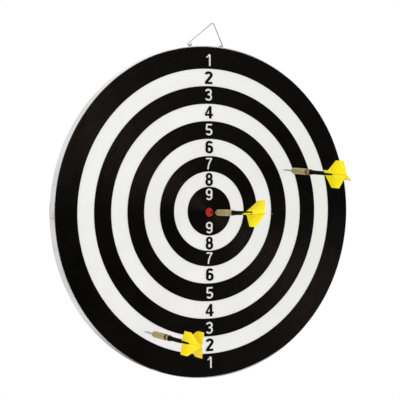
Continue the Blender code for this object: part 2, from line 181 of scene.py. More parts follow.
def finish_piece(bm, name, finish, body=None, replaces=(), crease=35.0):
    """Makes an object of a bmesh, and hands it to the body that it rides on."""
    bmesh.ops.recalc_face_normals(bm, faces=bm.faces)
    mesh = as_mesh(bm, name)
    mesh.materials.append(finish)
    mesh.shade_smooth()
    mesh.set_sharp_from_angle(angle=math.radians(crease))
    piece = add_object(name, mesh)
    if body is None:
        piece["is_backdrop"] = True
    else:
        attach(piece, body)
        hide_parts(*replaces)
    print(f"{name}: {sum(len(polygon.vertices) - 2 for polygon in mesh.polygons)} triangles")
    return piece


def thicken(piece, thickness, offset):
    """Gives a sheet a wall, outwards for an offset of 1, and to both sides for 0."""
    wall = piece.modifiers.new("thickness", "SOLIDIFY")
    wall.thickness = thickness * MM
    wall.offset = offset


# %% [markdown]
# ## Turned shapes
# The board's layers, the needles and the barrels are all round, so each is a line of corners
# spun round an axis, as on a lathe. A corner is rounded by a vertex bevel on the line, before
# it spins. The full spin merges its last step with its first, and doubles are removed at the
# poles. Matrices then place a shape, from millimetres and degrees.

# %% Helpers that turn a line of corners
ACROSS_AXIS = Vector((1.0, 0.0, 0.0))
OUT_OF_DART = Vector((0.0, 0.0, 1.0))
INTO_WALL = Vector((0.0, 1.0, 0.0))
MERGED_WITHIN = 0.002


def round_corner(bm, vert, size, segments):
    """Rounds one corner of a line or of a flat face."""
    bmesh.ops.bevel(
        bm, geom=[vert], offset=size * MM, offset_type="OFFSET", segments=segments,
        profile=0.5, affect="VERTICES", material=-1,
    )


def turned(corners, steps, axis=OUT_OF_DART, rounded=(), closed=False):
    """Spins (radius, height) corners round an axis. rounded has pairs of corner and size."""
    bm = bmesh.new()
    points = [ACROSS_AXIS * (radius * MM) + axis * (height * MM) for radius, height in corners]
    verts = [bm.verts.new(point) for point in points]
    for pair in zip(verts, verts[1:]):
        bm.edges.new(pair)
    if closed:
        bm.edges.new((verts[-1], verts[0]))
    for index, size in rounded:
        round_corner(bm, verts[index], size, segments=4)
    bmesh.ops.spin(
        bm, geom=bm.verts[:] + bm.edges[:], cent=(0, 0, 0), axis=axis, angle=math.tau,
        steps=steps, use_merge=True, use_duplicate=False,
    )
    bmesh.ops.remove_doubles(bm, verts=bm.verts, dist=MERGED_WITHIN * MM)
    return bm


# %% Helpers that place a shape
def at(x, y, z):
    return Matrix.Translation((x * MM, y * MM, z * MM))


def rotation(degrees, axis):
    return Matrix.Rotation(math.radians(degrees), 4, axis)


def move(bm, matrix):
    bmesh.ops.transform(bm, matrix=matrix, verts=bm.verts)


# %% [markdown]
# ## Joining and cutting
# A Boolean joins two closed shapes or cuts one with the other. The modifier needs objects, so
# a helper makes two for a moment, reads the result and removes them. A second helper only pours
# one bmesh into another, where shapes lie side by side and needn't be joined.

# %% Helpers that combine two shapes
def combine(bm, tool, operation):
    """Joins or cuts two closed bmeshes, and returns the result as a new one."""
    things = []
    for shape in (bm, tool):
        bmesh.ops.recalc_face_normals(shape, faces=shape.faces)
        things.append(add_object("for_boolean", as_mesh(shape, "for_boolean")))
    boolean = things[0].modifiers.new("boolean", "BOOLEAN")
    boolean.object = things[1]
    boolean.operation = operation
    boolean.solver = "EXACT"
    bpy.context.view_layer.update()
    ready = things[0].evaluated_get(bpy.context.evaluated_depsgraph_get())
    result = bmesh.new()
    result.from_mesh(bpy.data.meshes.new_from_object(ready))
    for thing in things:
        bpy.data.meshes.remove(thing.data)
    return result


def pour(bm, into):
    """Adds one bmesh to another, and frees it."""
    mesh = as_mesh(bm, "poured")
    into.from_mesh(mesh)
    bpy.data.meshes.remove(mesh)


# %% [markdown]
# ## Effects that several finishes share
# Nothing on a real target has one flat colour. Four effects return on most of its surfaces:
# slow patches of a lighter and a darker tone, a fine grain to the touch, small specks, and
# lines along one direction. Each is a node group with named inputs, built once, and each
# finish uses it with its own values. A group only puts out colours, masks and heights.

# %% Helpers for node groups
def new_group(name, inputs, outputs):
    """An empty shader group with named sockets, what it is given, and its output node."""
    group = bpy.data.node_groups.new(name, "ShaderNodeTree")
    for side, sockets in (("INPUT", {"Place": "Vector", **inputs}), ("OUTPUT", outputs)):
        for label, kind in sockets.items():
            group.interface.new_socket(label, in_out=side, socket_type="NodeSocket" + kind)
    print(f"group {name}: {', '.join(outputs)}")
    return group, group.nodes.new("NodeGroupInput").outputs, group.nodes.new("NodeGroupOutput")


def ramp(tree, value, start, end, low=0.0, high=1.0):
    """Goes from low to high while the value goes from start to end, and stays there."""
    ends = {"From Min": start, "From Max": end, "To Min": low, "To Max": high}
    return add_node(tree, "MapRange", {"Value": value, **ends}).outputs[0]


def blend_colours(tree, share, below, above):
    return add_node(tree, "Mix", {0: share, 6: below, 7: above}, data_type="RGBA").outputs[2]


def vector_result(tree, operation, *values):
    """A VectorMath node's result, which is a number for a length, distance or dot product."""
    made = add_node(tree, "VectorMath", dict(enumerate(values)), operation=operation)
    return made.outputs["Value" if operation in ("LENGTH", "DISTANCE", "DOT_PRODUCT") else "Vector"]


# %% Patches of two tones
PATCHES, given, result = new_group(
    "patches", {"Size": "Float", "Dark": "Color", "Light": "Color"}, {"Color": "Color", "Mask": "Float"},
)
cloud = add_node(PATCHES, "TexNoise", {
    "Vector": given["Place"], "Scale": calculate(PATCHES, "DIVIDE", 1.0, given["Size"]),
    "Detail": 5.0, "Roughness": 0.55, "Distortion": 0.4,
})
mask = ramp(PATCHES, cloud.outputs["Fac"], 0.34, 0.66)
tone = blend_colours(PATCHES, mask, given["Dark"], given["Light"])
feed(PATCHES, result, {"Color": tone, "Mask": mask})

# %% A fine grain
GRAIN, given, result = new_group("grain", {"Size": "Float"}, {"Height": "Float"})
fine = add_node(GRAIN, "TexNoise", {
    "Vector": given["Place"], "Scale": calculate(GRAIN, "DIVIDE", 1.0, given["Size"]),
    "Detail": 3.0, "Roughness": 0.6,
})
feed(GRAIN, result, {"Height": fine.outputs["Fac"]})

# %% Small specks
SPECKS, given, result = new_group("specks", {"Size": "Float", "Amount": "Float"}, {"Mask": "Float"})
scale = calculate(SPECKS, "DIVIDE", 1.0, given["Size"])
wobble = add_node(SPECKS, "TexNoise", {"Vector": given["Place"], "Scale": scale, "Detail": 2.0})
cells = add_node(SPECKS, "TexVoronoi", {"Vector": given["Place"], "Scale": scale}).outputs
pick = add_node(SPECKS, "SeparateColor", {"Color": cells["Color"]}).outputs[0]
chance = calculate(SPECKS, "LESS_THAN", pick, given["Amount"])
reach = calculate(SPECKS, "MULTIPLY", cells["Distance"], wobble.outputs["Fac"])
speck = calculate(SPECKS, "MULTIPLY", ramp(SPECKS, reach, 0.17, 0.09), chance)
feed(SPECKS, result, {"Mask": speck})

# %% Lines along one direction
LINES, given, result = new_group("lines", {"Spacing": "Vector"}, {"Height": "Float"})
stretched = vector_result(LINES, "DIVIDE", given["Place"], given["Spacing"])
streak = add_node(LINES, "TexNoise", {
    "Vector": stretched, "Scale": 1.0, "Detail": 3.0, "Roughness": 0.65,
})
feed(LINES, result, {"Height": streak.outputs["Fac"]})


# %% [markdown]
# ## Starting a finish
# A finish is a material with one Principled shader. What is the same all over the surface, such
# as its sheen, is set straight on the shader's own sockets. What changes over the surface comes
# from the groups. Patterns read the object's own coordinates, or a place that the piece keeps
# for each of its points where a pattern has to follow a curved or leaning surface.

# %% Helpers for a finish
def new_finish(name, plain, place=None):
    """A material with plain values on its shader, and the coordinates that its patterns use."""
    finish = bpy.data.materials.new(name)
    finish.use_nodes = True
    tree = finish.node_tree
    shader = feed(tree, tree.nodes["Principled BSDF"], plain)
    if place:
        source = add_node(tree, "Attribute", attribute_name=place).outputs["Vector"]
    else:
        source = add_node(tree, "TexCoord").outputs["Object"]
    print(f"finish {name}")
    return finish, tree, shader, source


def use_group(tree, group, place, **inputs):
    """Puts a group in a finish, and returns its outputs."""
    made = tree.nodes.new("ShaderNodeGroup")
    made.node_tree = group
    return feed(tree, made, {"Place": place, **inputs}).outputs


def sprinkle(tree, place, colour, speck, size, amount):
    """A colour with specks of another one on it."""
    specks = use_group(tree, SPECKS, place, Size=size, Amount=amount)
    return blend_colours(tree, specks["Mask"], colour, speck)


def raise_bumps(tree, shader, *layers):
    """Bump nodes on top of each other, from pairs of a height and its depth in metres."""
    normal = {}
    for height, depth in layers:
        inputs = {"Height": height, "Distance": depth, "Strength": 1.0, **normal}
        normal = {"Normal": add_node(tree, "Bump", inputs).outputs["Normal"]}
    feed(tree, shader, normal)


# %% [markdown]
# ## Paper
# The face is a sheet of white printed paper glued on pressed cork. The cork's granules show
# through it as a very slight unevenness, its fibres give a fine tooth, and it has greyed a
# little in patches. From the middle to the right it gets a little painted shade with a trace of
# yellow. The back has a plainer sheet with more fibre and a warmer tone.

# %% The two papers
# Painted shade with a trace of yellow towards the right of the face, and where it starts and ends.
RIGHT_SHADE_TONE = (0.785, 0.792, 0.740)
RIGHT_SHADE_FROM, RIGHT_SHADE_TO = -0.02, 0.17
FIBRE_SHADE = 0.86


def paper_finish(name, dark, light, patch, fibre_amount, right_shade):
    finish, tree, shader, place = new_finish(name, {"Specular IOR Level": 0.35})
    tone = use_group(tree, PATCHES, place, Size=patch, Dark=dark, Light=light)
    sideways = add_node(tree, "SeparateXYZ", {"Vector": place}).outputs["X"]
    # From the middle to the right the paper gets painted shade with a trace of yellow.
    shaded_right = ramp(tree, sideways, RIGHT_SHADE_FROM, RIGHT_SHADE_TO, 0.0, right_shade)
    colour = blend_colours(tree, shaded_right, tone["Color"], RIGHT_SHADE_TONE)
    colour = sprinkle(tree, place, colour, [part * FIBRE_SHADE for part in dark], 0.0011, fibre_amount)
    feed(tree, shader, {"Base Color": colour, "Roughness": ramp(tree, tone["Mask"], 0, 1, 0.62, 0.74)})
    granules = use_group(tree, GRAIN, place, Size=0.0035)["Height"]
    tooth = use_group(tree, GRAIN, place, Size=0.00035)["Height"]
    raise_bumps(tree, shader, (granules, 0.00012), (tooth, 0.00002))
    return finish


# The last value is how much painted shade the right of the sheet gets.
FACE_PAPER = paper_finish("face_paper", (0.816, 0.814, 0.802), (0.864, 0.865, 0.857), 0.05, 0.03, 0.8)
BACK_PAPER = paper_finish("back_paper", (0.74, 0.73, 0.70), (0.82, 0.815, 0.79), 0.03, 0.12, 0.0)

# %% [markdown]
# ## Flock
# The black zones and the red dot are flock, which is short fibre blown on glue. It is nearly
# without gloss, it looks browner where the nap lies another way, and it catches a little lint.
# The nap is a fine grain in the bump, and a low sheen gives it the soft edge that fibre has.
# The black nap was brushed round the board in circles, and the sheen that this gives towards
# the upper left and the lower right is painted into its colour as a painted highlight, with only
# the dark flock in between. Each sector of painted sheen is a power of the cosine of the angle
# to its middle, broken up by round streaks.

# %% Where the painted sheen lies
# For each sector of painted sheen: the angle of its middle in degrees, the cosine's power, and its strength.
PAINTED_SHEEN_SECTORS = ((100.0, 2.0, 0.22), (147.0, 14.0, 0.64))


def painted_sheen_share(tree, place):
    """How strong the painted sheen is, from 0 to 1."""
    flat = vector_result(tree, "MULTIPLY", place, (1.0, 0.0, 1.0))
    outwards = vector_result(tree, "NORMALIZE", flat)
    radius = add_node(tree, "CombineXYZ", {"Y": vector_result(tree, "LENGTH", flat)}).outputs[0]
    round_place = vector_result(tree, "ADD", outwards, radius)
    streaks = use_group(tree, LINES, round_place, Spacing=(0.10, 0.0016, 0.10))["Height"]
    total = 0.0
    for angle, power, amount in PAINTED_SHEEN_SECTORS:
        middle = (math.cos(math.radians(angle)), 0.0, math.sin(math.radians(angle)))
        cosine = calculate(tree, "ABSOLUTE", vector_result(tree, "DOT_PRODUCT", outwards, middle))
        total = calculate(tree, "MULTIPLY_ADD", calculate(tree, "POWER", cosine, power), amount, total)
    return calculate(tree, "MULTIPLY", total, ramp(tree, streaks, 0.32, 0.68, 0.4, 1.6), clamp=True)


# %% The two flocks
def flock_finish(name, dark, light, lint, lint_amount, sheen, tint, sheen_paint_colour=None):
    finish, tree, shader, place = new_finish(name, {
        "Specular IOR Level": 0.02, "Roughness": 0.9,
        "Sheen Weight": sheen, "Sheen Roughness": 0.6, "Sheen Tint": tint,
    })
    wide = use_group(tree, PATCHES, place, Size=0.035, Dark=dark, Light=light)["Color"]
    along_nap = add_node(tree, "Mapping", {
        "Vector": place, "Rotation": (0.0, 0.7, 0.0), "Scale": (1.0, 1.0, 0.35),
    }).outputs[0]
    close = use_group(tree, PATCHES, along_nap, Size=0.004, Dark=dark, Light=light)["Color"]
    colour = blend_colours(tree, 0.35, wide, close)
    if sheen_paint_colour:
        # The painted sheen, a painted highlight, is mixed into the flock's colour here.
        colour = blend_colours(tree, painted_sheen_share(tree, place), colour, sheen_paint_colour)
    feed(tree, shader, {"Base Color": sprinkle(tree, place, colour, lint, 0.0009, lint_amount)})
    raise_bumps(tree, shader, (use_group(tree, GRAIN, place, Size=0.00022)["Height"], 0.00006))
    return finish


# The black flock's last colour is its painted sheen, a painted highlight.
BLACK_FLOCK = flock_finish(
    "black_flock", (0.0001, 0.0003, 0.0003), (0.0028, 0.0024, 0.0020), (0.030, 0.028, 0.025), 0.006,
    0.008, (1.0, 0.85, 0.7), sheen_paint_colour=(0.0122, 0.0090, 0.0070),
)
RED_FLOCK = flock_finish(
    "red_flock", (0.38, 0.016, 0.018), (0.49, 0.027, 0.030), (0.55, 0.18, 0.16), 0.01,
    0.05, (1.0, 0.6, 0.55),
)

# %% [markdown]
# ## Cork
# The core only shows inside the holes that the needles leave. It is pressed from granules, so
# its colour changes from cell to cell of a Voronoi pattern, with dark lines of glue between.

# %% The cork
CORK, tree, shader, place = new_finish("pressed_cork", {"Roughness": 0.92, "Specular IOR Level": 0.2})
GRANULES_PER_METRE = 420.0
granules = {"Vector": place, "Scale": GRANULES_PER_METRE}
pick = add_node(tree, "TexVoronoi", granules).outputs["Color"]
pick = add_node(tree, "SeparateColor", {"Color": pick}).outputs[0]
tone = blend_colours(tree, pick, (0.24, 0.125, 0.055), (0.50, 0.31, 0.16))
rims = add_node(tree, "TexVoronoi", granules, feature="DISTANCE_TO_EDGE").outputs["Distance"]
glued = blend_colours(tree, ramp(tree, rims, 0.0, 0.12, 1.0, 0.0), tone, (0.10, 0.05, 0.022))
feed(tree, shader, {"Base Color": glued})
raise_bumps(tree, shader, (rims, 0.0003))
for name, finish in (("pressed_cork_core", CORK), ("back_sheet", BACK_PAPER)):
    NODES[name].data.materials.clear()
    NODES[name].data.materials.append(finish)
    print(f"{name} keeps its solid and has {finish.name}")

# %% [markdown]
# ## The paper face
# The sheet is one turned disc with a softly rounded edge. A needle pushes up a small lip of
# paper where it goes in, so a low bump is joined on at each of the two darts that hit bare
# paper, and then the needle's hole is cut through both. The holes only clear the needles by
# a hair, because paper closes round a needle.

# %% The face's measurements
FACE = -13.0
FLOCK = 0.4
PAPER_FRONT = FACE + FLOCK
PAPER_BACK = -11.8
SHEET_RADIUS = 184.4
NEEDLE_RADIUS, NEEDLE_PLAY = 1.0, 0.03
ENTRIES = {"dart_1": (98.605, 46.8975), "dart_2": (2.701, -0.296), "dart_3": (-79.809, -128.4455)}
DART_OUT = {
    joint["child"]: Vector(joint["axis"]).normalized()
    for joint in frame["joints"] if joint["child"] in ENTRIES
}


def dart_frame(dart):
    """The dart's place: +Z out of the board along its axis, +X to the right, +Y up."""
    out = DART_OUT[dart]
    up = (Vector((0, 0, 1)) - out * out.z).normalized()
    x, z = ENTRIES[dart]
    return at(x, FACE, z) @ Matrix((up.cross(out), up, out)).transposed().to_4x4()


for dart, out in DART_OUT.items():
    print(f"{dart} points out along ({out.x:.3f}, {out.y:.3f}, {out.z:.3f})")


# %% The paper with its needle holes
def needle_hole(dart):
    """A round bar along a dart's axis, a hair thicker than its needle."""
    radius, reach = NEEDLE_RADIUS + NEEDLE_PLAY, 12
    bar = turned([(0, -reach), (radius, -reach), (radius, reach), (0, reach)], 32)
    move(bar, dart_frame(dart))
    return bar


def paper_lip(dart):
    """The paper that a needle pushes up round itself, with a root inside the sheet."""
    root = 0.3
    profile = [(0, root), (2.7, root), (2.7, 0.02), (2.1, -0.05), (1.55, -0.2), (1.2, -0.27), (0, -0.27)]
    lip = turned([(radius, PAPER_FRONT + depth) for radius, depth in profile], 48, INTO_WALL)
    x, z = ENTRIES[dart]
    move(lip, at(x, 0, z))
    return lip


sheet = turned(
    [(0, PAPER_BACK), (SHEET_RADIUS, PAPER_BACK), (SHEET_RADIUS, PAPER_FRONT),
     (SHEET_RADIUS - 0.6, PAPER_FRONT), (0, PAPER_FRONT)],
    288, INTO_WALL, rounded=[(2, 0.15)],
)
for dart in ("dart_1", "dart_3"):
    sheet = combine(sheet, paper_lip(dart), "UNION")
    sheet = combine(sheet, needle_hole(dart), "DIFFERENCE")
finish_piece(sheet, "face_paper", FACE_PAPER, "board", ["face_sheet"], crease=50.0)


# %% [markdown]
# ## Drawing along feeds and bends
# A numeral's stroke, a wire hanger and a staple are all made the same way: something moves
# straight ahead for a while, and then round a bend. Whatever edges start the move are drawn
# along with it. A short edge across the way leaves a ribbon, and a circle leaves a wire. The
# straight parts are an extrusion, and the bends are a spin round the bend's own centre.

# %% Helpers that feed and bend
def only(kind, items):
    """Those items of a bmesh operator's result that are all vertices, or all edges."""
    return [item for item in items if isinstance(item, kind)]


def feed_and_bend(bm, ends, place, heading, normal, moves, step=10.0):
    """Draws edges through moves of (feed, turn in degrees, radius), left turns positive."""
    place, heading, normal = Vector(place), Vector(heading).normalized(), Vector(normal)
    for straight, turn, radius in moves:
        if straight:
            made = bmesh.ops.extrude_edge_only(bm, edges=ends)["geom"]
            verts = only(bmesh.types.BMVert, made)
            bmesh.ops.translate(bm, verts=verts, vec=heading * straight)
            ends = [edge for edge in only(bmesh.types.BMEdge, made) if set(edge.verts) <= set(verts)]
            place = place + heading * straight
        if turn:
            centre = place + normal.cross(heading) * math.copysign(radius, turn)
            spun = bmesh.ops.spin(
                bm, geom=ends + list({vert for edge in ends for vert in edge.verts}), cent=centre,
                axis=normal, angle=math.radians(turn), steps=max(2, round(abs(turn) / step)),
                use_duplicate=False,
            )
            ends = only(bmesh.types.BMEdge, spun["geom_last"])
            bend = Matrix.Rotation(math.radians(turn), 3, normal)
            place = centre + bend @ (place - centre)
            heading = bend @ heading
    return ends


# %% [markdown]
# ## The numerals
# The board is numbered 1 to 9 down to the middle, and 9 to 1 from there down. Every numeral
# is drawn here by its own strokes, in units of its height: where a stroke starts, its heading
# in degrees, its width, and its moves. The nine is the six turned over. In the black zones the
# numerals are bare paper, and in the white zones they are black flock. Flock spreads a little
# when it is blown on, so a black stroke comes out bolder than it was drawn and a white one
# finer, and each number has its own width, height and weight for that.

# %% The strokes
THICK, MIDDLE, THIN = 0.17, 0.16, 0.15
LOOP = [(0.10, 180, 0.19), (0.10, 180, 0.19)]
STROKES = {
    1: [((0.09, 0.0), 90, THICK, [(1.0, 0, 0)]), ((-0.19, 0.735), 12, 0.13, [(0, 62, 0.25), (0.085, 0, 0)])],
    2: [((-0.1907, 0.7605), 78, MIDDLE, [(0, -203, 0.195), (0.62, 0, 0)]),
        ((-0.26, 0.075), 0, THIN, [(0.52, 0, 0)])],
    3: [((-0.1787, 0.7829), 75, MIDDLE, [(0, -165, 0.185), (0.02, -85, 0.185)]),
        ((-0.06, 0.53), 0, THIN, [(0.06, -90, 0.195), (0.06, -160, 0.195)])],
    4: [((0.09, 0.0), 90, THICK, [(1.0, 0, 0)]), ((0.075, 0.99), -116.0, 0.115, [(0.76, 0, 0)]),
        ((-0.28, 0.29), 0, THIN, [(0.56, 0, 0)])],
    5: [((-0.15, 0.925), 0, THIN, [(0.39, 0, 0)]), ((-0.135, 0.99), -96.4, THIN, [(0.5, 0, 0)]),
        ((-0.1597, 0.4468), 55, MIDDLE, [(0, -145, 0.195), (0.06, -155, 0.195)])],
    6: [((0.195, 0.27), 90, MIDDLE, LOOP), ((0.184, 0.798), 110, MIDDLE, [(0, 160, 0.185), (0.435, 0, 0)])],
    7: [((-0.26, 0.925), 0, THIN, [(0.52, 0, 0)]), ((0.205, 0.90), -125, THICK, [(0, 33, 1.662)])],
    8: [((0.195, 0.275), 90, MIDDLE, [(0.05, 180, 0.195), (0.05, 180, 0.195)]),
        ((0.17, 0.695), 90, THIN, [(0.05, 180, 0.17), (0.05, 180, 0.17)])],
}
NUMERAL_HEIGHT = 13.7
# For each number, in millimetres: how far up its upper and its lower numeral stand, and their
# shift to the right. Then, as shares of what is drawn: width, height and the strokes' weight.
NUMBERS = {
    1: (169.3, -168.0, -0.15, 1.17, 0.95, 0.84), 2: (149.8, -148.2, -0.25, 1.27, 1.01, 1.18),
    3: (130.8, -129.2, -0.6, 1.28, 0.99, 0.91), 4: (111.3, -109.5, 0.05, 1.29, 1.00, 1.02),
    5: (92.1, -90.0, -0.1, 1.23, 0.96, 0.96), 6: (72.6, -69.6, 0.15, 1.24, 1.01, 1.16),
    7: (54.3, -51.1, -0.1, 1.12, 0.96, 0.83), 8: (36.7, -34.4, -0.1, 1.20, 1.06, 1.11),
    9: (20.0, -17.1, 0.0, 1.20, 0.96, 0.93),
}
TOWARDS_VIEWER = Vector((0.0, -1.0, 0.0))
print(f"{sum(len(strokes) for strokes in STROKES.values())} strokes for eight shapes")


# %% Drawing the numerals
def stroke_block(start, heading, width, moves, depth):
    """One stroke of a numeral as a closed block, its depth in units of its height too."""
    bm = bmesh.new()
    ahead = Vector((math.cos(math.radians(heading)), 0.0, math.sin(math.radians(heading))))
    across = TOWARDS_VIEWER.cross(ahead) * width / 2
    place = Vector((start[0], 0.0, start[1]))
    edge = bm.edges.new((bm.verts.new(place - across), bm.verts.new(place + across)))
    feed_and_bend(bm, [edge], place, ahead, TOWARDS_VIEWER, moves)
    bmesh.ops.remove_doubles(bm, verts=bm.verts, dist=0.0005)
    raised = bmesh.ops.extrude_face_region(bm, geom=bm.faces[:])["geom"]
    bmesh.ops.translate(bm, verts=only(bmesh.types.BMVert, raised), vec=(0.0, depth, 0.0))
    return bm


def numerals(number, front, depth):
    """Both numerals of a zone, the upper and the lower, as closed blocks in one bmesh."""
    upper, lower, shift, wide, tall, weight = NUMBERS[number]
    single = None
    for start, heading, width, moves in STROKES[6 if number == 9 else number]:
        stroke = stroke_block(start, heading, width * weight, moves, depth / NUMERAL_HEIGHT)
        single = combine(single, stroke, "UNION") if single else stroke
    turned_over = rotation(180 if number == 9 else 0, "Y") @ Matrix.Translation((0, 0, -0.5))
    size = NUMERAL_HEIGHT * MM
    move(single, Matrix.Diagonal((size * wide, size, size * tall, 1)) @ turned_over)
    both = bmesh.new()
    for height in (upper, lower):
        placed = single.copy()
        move(placed, at(shift, front, height))
        pour(placed, both)
    single.free()
    return both


# %% The black numerals
for number in (2, 4, 6, 8):
    finish_piece(numerals(number, FACE, FLOCK), f"numerals_{number}", BLACK_FLOCK, "board")

# %% [markdown]
# ## The flocked zones
# A zone is a ring four tenths of a millimetre thick, with soft edges where the flock thins out.
# The print sits about a millimetre above the board's centre, its small rings a little more than
# its large ones. So a ring's two edges don't share one centre, and its points move up by the
# edge that they are on. A loop of points close inside each edge keeps the broad face flat under
# smooth shading. The outermost edge is not quite round, and stops short of the rim in places.
# The white numerals are cut out of the rings by blocks that stand out on both sides.

# %% The black rings and the disc
# For each piece, in millimetres: its number, then radius and rise of its outer and inner edge.
ZONES = {
    "black_ring_1": (1, 184.40, 0.0, 158.86, 0.81),
    "black_ring_3": (3, 139.56, 0.85, 119.76, 0.95),
    "black_ring_5": (5, 100.49, 1.05, 80.63, 1.16),
    "black_ring_7": (7, 61.51, 1.19, 44.19, 1.28),
    "black_disc_9": (9, 27.27, 1.23, 4.75, 0.0),
}
# The outermost edge's mean shift in millimetres, and its waves: (how many, cosine, sine). Only
# the points further out than OUTERMOST are on that edge.
MEAN_SHIFT, MOST_SHIFT = -0.06, 0.05
WAVES = ((1, 0.16, 0.07), (2, 0.18, -0.23), (3, 0.11, 0.04), (4, -0.18, -0.21), (5, -0.15, -0.07))
OUTERMOST = 172.0
SOFT, SUPPORT = 0.12, 0.5
CUT_ABOVE, CUT_BELOW = 0.5, 0.2


def flocked_ring(outer, outer_rise, inner, inner_rise):
    corners = [(inner, PAPER_FRONT), (inner, FACE), (inner + SUPPORT, FACE),
               (outer - SUPPORT, FACE), (outer, FACE), (outer, PAPER_FRONT)]
    ring = turned(corners, 288, INTO_WALL, rounded=[(1, SOFT), (4, SOFT)], closed=True)
    for vert in ring.verts:
        on_outer = vert.co.xz.length > (outer + inner) / 2 * MM
        vert.co.z += (outer_rise if on_outer else inner_rise) * MM
    return ring


def shift_outermost(bm):
    """Moves the outermost edge in where the print stops short of the rim."""
    for vert in bm.verts:
        radius = vert.co.xz.length
        if radius > OUTERMOST * MM:
            angle = math.atan2(vert.co.z, vert.co.x)
            shift = MEAN_SHIFT + sum(a * math.cos(k * angle) + b * math.sin(k * angle) for k, a, b in WAVES)
            grown = 1 + min(shift, MOST_SHIFT) * MM / radius
            vert.co *= Vector((grown, 1, grown))


for name, (number, *edges) in ZONES.items():
    ring = flocked_ring(*edges)
    if number == 1:
        shift_outermost(ring)
    blocks = numerals(number, FACE - CUT_ABOVE, CUT_ABOVE + FLOCK + CUT_BELOW)
    ring = combine(ring, blocks, "DIFFERENCE")
    finish_piece(ring, name.replace("black", "flock"), BLACK_FLOCK, "board", [name])

# %% The red dot
RED_RADIUS = 4.6
corners = [(0, PAPER_FRONT), (RED_RADIUS, PAPER_FRONT), (RED_RADIUS, FACE), (RED_RADIUS - SUPPORT, FACE)]
dot = turned(corners + [(0, FACE)], 96, INTO_WALL, rounded=[(2, SOFT)])
dot = combine(dot, needle_hole("dart_2"), "DIFFERENCE")
finish_piece(dot, "red_dot", RED_FLOCK, "board", ["red_centre"])

# %% [markdown]
# ## Paper tape round the rim
# The edge of the cork is covered by one strip of white paper tape, which starts and ends on the
# left and laps over its own start for 14 mm. A line across the strip is spun once round and a
# bit further. Then every point is lifted over the lap, and moved in or out by a few hundredths
# of a millimetre, because a strip pulled round a rim never lies quite even. Each point also
# keeps its place along and across the strip, for patterns that follow it. Its colour is not
# even: painted light makes it paler at the upper left, where the light falls on it, and it is
# darker and browner at the lower left, lighter in a patch above that, with a faint warm stain
# and a darker grey spot at the lap.
# Its front edge is black with flock where the print reaches it, on the right and the upper left.

# %% The tape
BOARD_RADIUS = 185.0
TAPE_INNER, TAPE_THICK = 184.6, 0.4
TAPE_STEPS, ACROSS = 748, 8
LAP, LAP_RAMP, LAP_LIFT = 14.0, 4.0, 0.5
TAPE_START = math.radians(181.0)
CROWN, RIPPLE, SUNK = 0.05, 0.05, 0.06
SWEEP = math.tau + LAP / BOARD_RADIUS


def rim_tape():
    bm = bmesh.new()
    depths = [FACE * MM * (1 - share / ACROSS) for share in range(ACROSS + 1)]
    line = [bm.verts.new((TAPE_INNER * MM, depth, 0.0)) for depth in depths]
    edges = [bm.edges.new(pair) for pair in zip(line, line[1:])]
    start = Matrix.Rotation(SWEEP - TAPE_START, 3, "Y")
    bmesh.ops.rotate(bm, verts=line, cent=(0, 0, 0), matrix=start)
    bmesh.ops.spin(
        bm, geom=line + edges, cent=(0, 0, 0), axis=TOWARDS_VIEWER, angle=SWEEP,
        steps=TAPE_STEPS, use_duplicate=False,
    )
    layer = bm.verts.layers.float_vector.new("tape_place")
    for index, vert in enumerate(bm.verts):
        turned_by = SWEEP * (index // (ACROSS + 1)) / TAPE_STEPS
        lapped = min(max((turned_by - math.tau) * BOARD_RADIUS / LAP_RAMP + 1.0, 0.0), 1.0)
        crown = CROWN * (1 - (2 * vert.co.y / (FACE * MM) - 1) ** 4)
        ripple = RIPPLE * noise.noise(Vector((turned_by * 30.0, vert.co.y * 260.0, 0.0)))
        radius = (TAPE_INNER + lapped * LAP_LIFT + crown + ripple - SUNK) * MM
        vert[layer] = (turned_by * BOARD_RADIUS * MM, vert.co.y, 0.0)
        grown = radius / vert.co.xz.length
        vert.co *= Vector((grown, 1, grown))
    return bm


# %% The tape's finish
plain = {"Specular IOR Level": 0.3, "Roughness": 0.7}
TAPE, tree, shader, place = new_finish("rim_tape", plain, "tape_place")
on_board = add_node(tree, "TexCoord").outputs["Object"]
tone = use_group(tree, PATCHES, place, Size=0.02, Dark=(0.46, 0.455, 0.455), Light=(0.52, 0.52, 0.52))
colour = tone["Color"]
FLOCK_BLACK = (0.006, 0.005, 0.004)
# For each mark: its middle and its reach in metres, its colour and its strength. The first
# two are painted light, where the light falls on the upper left. Then come a lighter patch
# lower on the left, a darker and browner part at the lower left, a faint warm stain, and a
# darker grey spot at the lap. The last three are flock, which lies on the front edge only.
STAINS_AND_PAINTED_LIGHT = (
    ((-0.070, -0.0065, 0.171), 0.120, (0.82, 0.82, 0.82), 1.0),
    ((-0.163, -0.0065, 0.087), 0.080, (0.58, 0.58, 0.58), 0.8),
    ((-0.156, -0.0065, -0.100), 0.036, (0.60, 0.60, 0.595), 0.8),
    ((-0.079, -0.0065, -0.167), 0.066, (0.21, 0.168, 0.138), 0.95),
    ((-0.184, -0.010, -0.024), 0.012, (0.54, 0.50, 0.48), 0.6),
    ((-0.185, -0.012, -0.001), 0.008, (0.38, 0.365, 0.35), 0.75),
    ((0.165, -0.013, -0.085), 0.14, FLOCK_BLACK, 1.0),
    ((0.140, -0.013, 0.120), 0.06, FLOCK_BLACK, 1.0),
    ((-0.140, -0.013, 0.125), 0.12, FLOCK_BLACK, 0.5),
)
across = add_node(tree, "SeparateXYZ", {"Vector": place}).outputs["Y"]
front_edge = ramp(tree, across, -0.0124, -0.0128)
